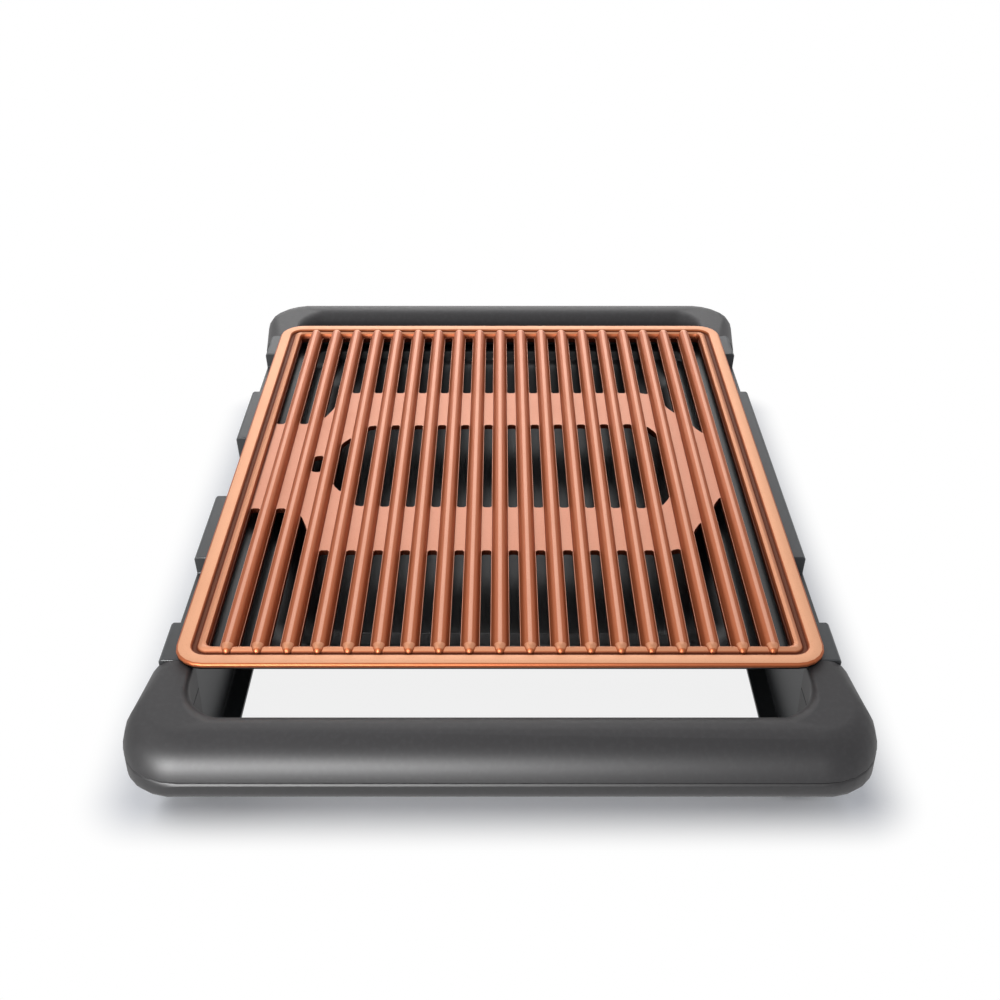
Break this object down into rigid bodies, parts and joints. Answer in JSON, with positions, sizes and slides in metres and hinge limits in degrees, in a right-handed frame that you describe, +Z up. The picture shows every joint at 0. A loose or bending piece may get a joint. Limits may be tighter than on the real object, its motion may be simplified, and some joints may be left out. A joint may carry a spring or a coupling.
{
  "type": "smokeless indoor grill",
  "caption": "Countertop electric grill: slotted ribbed plate with a tube element in its underside, lift-out drip tray, and an open base with two wide loop handles.",
  "frame": {"origin": "on the table, under the middle of the grill", "axes": "+Z up, +Y along the grill from the front handle to the rear one, +X across it, with the inlet of the heating element on the -X side"},
  "size_m": [0.366, 0.529, 0.0828],
  "materials": {
    "handle_plastic": "fine matt texture, warm black",
    "rail_plastic": "satin, dark grey",
    "tray_enamel": "gloss black enamel",
    "copper_nonstick": "copper-coloured non-stick coating, satin",
    "element_steel": "darkened steel sheath",
    "pin_steel": "bright",
    "ceramic": "unglazed ceramic, off-white",
    "guard_steel": "bent sheet, plain",
    "screw_steel": "zinc-plated",
    "foot_rubber": "matt"
  },
  "bodies": {
    "base": {"left_side_rail": "rail_plastic", "right_side_rail": "rail_plastic", "front_handle_top": "handle_plastic", "front_handle_bottom": "handle_plastic", "rear_handle_top": "handle_plastic", "rear_handle_bottom": "handle_plastic", "front_handle_screw_1": "screw_steel", "front_handle_screw_2": "screw_steel", "front_handle_screw_3": "screw_steel", "front_handle_screw_4": "screw_steel", "rear_handle_screw_1": "screw_steel", "rear_handle_screw_2": "screw_steel", "rear_handle_screw_3": "screw_steel", "rear_handle_screw_4": "screw_steel", "front_tie_screw_1": "screw_steel", "front_tie_screw_2": "screw_steel", "rear_tie_screw_1": "screw_steel", "rear_tie_screw_2": "screw_steel", "front_foot_1": "foot_rubber", "front_foot_2": "foot_rubber", "rear_foot_1": "foot_rubber", "rear_foot_2": "foot_rubber"},
    "tray": {"drip_tray": "tray_enamel"},
    "plate": {"grill_plate": "copper_nonstick", "heating_element": "element_steel", "sensor_sleeve": "pin_steel", "terminal_pin_front": "pin_steel", "terminal_pin_rear": "pin_steel", "terminal_insulator_front": "ceramic", "terminal_insulator_rear": "ceramic", "terminal_guard": "guard_steel", "guard_screw_1": "screw_steel", "guard_screw_2": "screw_steel"}
  },
  "joints": [
    {"name": "tray_lift", "type": "slide", "parent": "base", "child": "tray", "axis": [0, 0, 1], "range_m": [0, 0.06]},
    {"name": "plate_lift", "type": "slide", "parent": "tray", "child": "plate", "axis": [0, 0, 1], "range_m": [0, 0.1023]}
  ]
}
